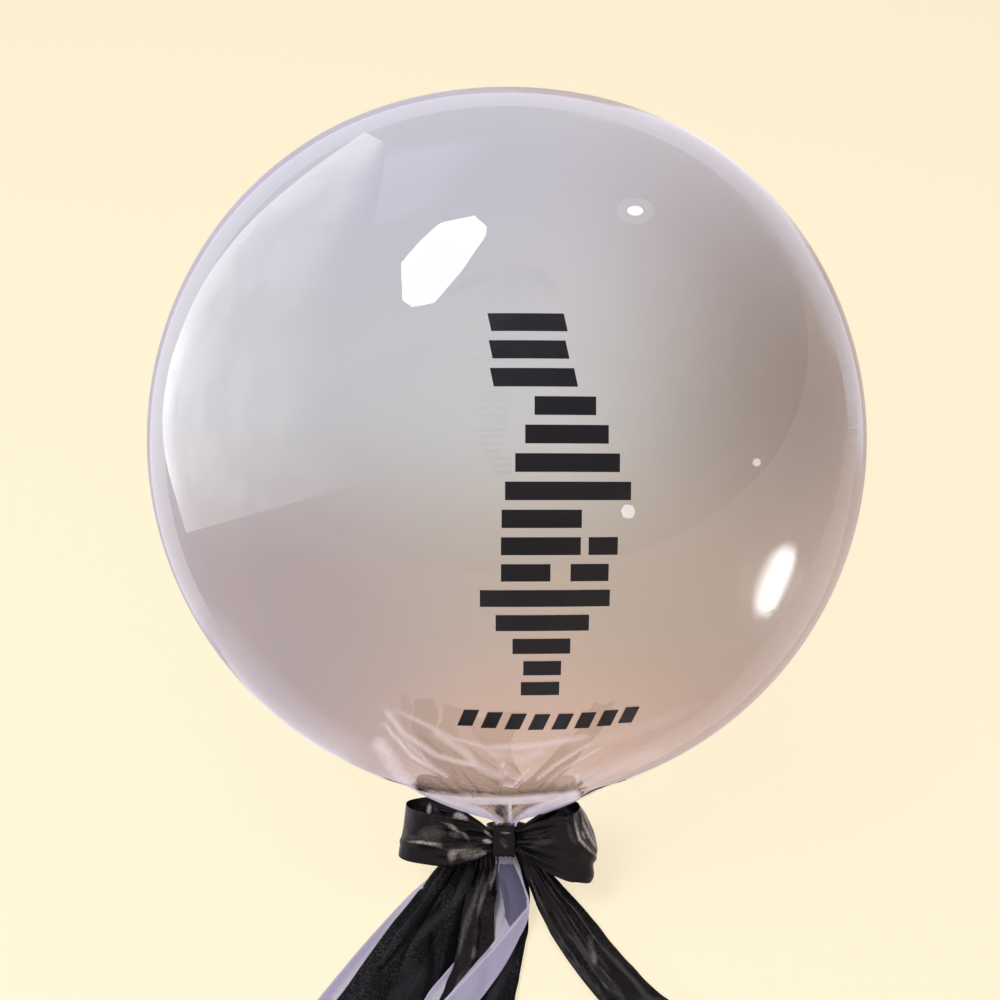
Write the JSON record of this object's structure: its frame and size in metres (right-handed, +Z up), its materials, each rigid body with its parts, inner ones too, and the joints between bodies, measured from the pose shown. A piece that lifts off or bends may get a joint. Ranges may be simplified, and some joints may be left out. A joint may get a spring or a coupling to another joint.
{
  "type": "clear bubble balloon with a bow and ribbons",
  "caption": "Clear round bubble balloon lying on its side, neck tied with a glossy black bow, with trailing velvet and lilac ribbons.",
  "frame": {"origin": "on the floor, at the centre of the small flat spot that the balloon rests on", "axes": "+Z up. +Y from the ribbons' cut ends towards the balloon. +X to the right as one faces the bow."},
  "size_m": [0.45, 0.6213, 0.4468],
  "materials": {
    "clear_film": "clear glossy film",
    "glossy_black_ribbon": "glossy, crumpled",
    "black_velvet": "short pile",
    "lilac_grosgrain": "fine cross ribs",
    "black_vinyl": "satin"
  },
  "bodies": {
    "root": {"balloon": "clear_film", "bow_loops": "glossy_black_ribbon", "bow_knot": "glossy_black_ribbon", "bow_neck_wrap": "glossy_black_ribbon", "bow_tail_left": "glossy_black_ribbon", "bow_tail_right": "glossy_black_ribbon", "velvet_ribbon_outer": "black_velvet", "velvet_ribbon_inner": "black_velvet", "velvet_ribbon_right": "black_velvet", "lilac_ribbon_left": "lilac_grosgrain", "lilac_ribbon_back": "lilac_grosgrain", "lilac_ribbon_front": "lilac_grosgrain", "vinyl_top_1": "black_vinyl", "vinyl_top_2": "black_vinyl", "vinyl_top_3": "black_vinyl", "vinyl_upper_1": "black_vinyl", "vinyl_upper_2": "black_vinyl", "vinyl_upper_3": "black_vinyl", "vinyl_upper_4": "black_vinyl", "vinyl_middle_1": "black_vinyl", "vinyl_middle_2": "black_vinyl", "vinyl_middle_3": "black_vinyl", "vinyl_lower_1": "black_vinyl", "vinyl_lower_2": "black_vinyl", "vinyl_lower_3": "black_vinyl", "vinyl_lower_4": "black_vinyl", "vinyl_lower_5": "black_vinyl", "vinyl_side_1": "black_vinyl", "vinyl_side_2": "black_vinyl", "vinyl_dash_1": "black_vinyl", "vinyl_dash_2": "black_vinyl", "vinyl_dash_3": "black_vinyl", "vinyl_dash_4": "black_vinyl", "vinyl_dash_5": "black_vinyl", "vinyl_dash_6": "black_vinyl", "vinyl_dash_7": "black_vinyl", "vinyl_dash_8": "black_vinyl"}
  },
  "joints": []
}
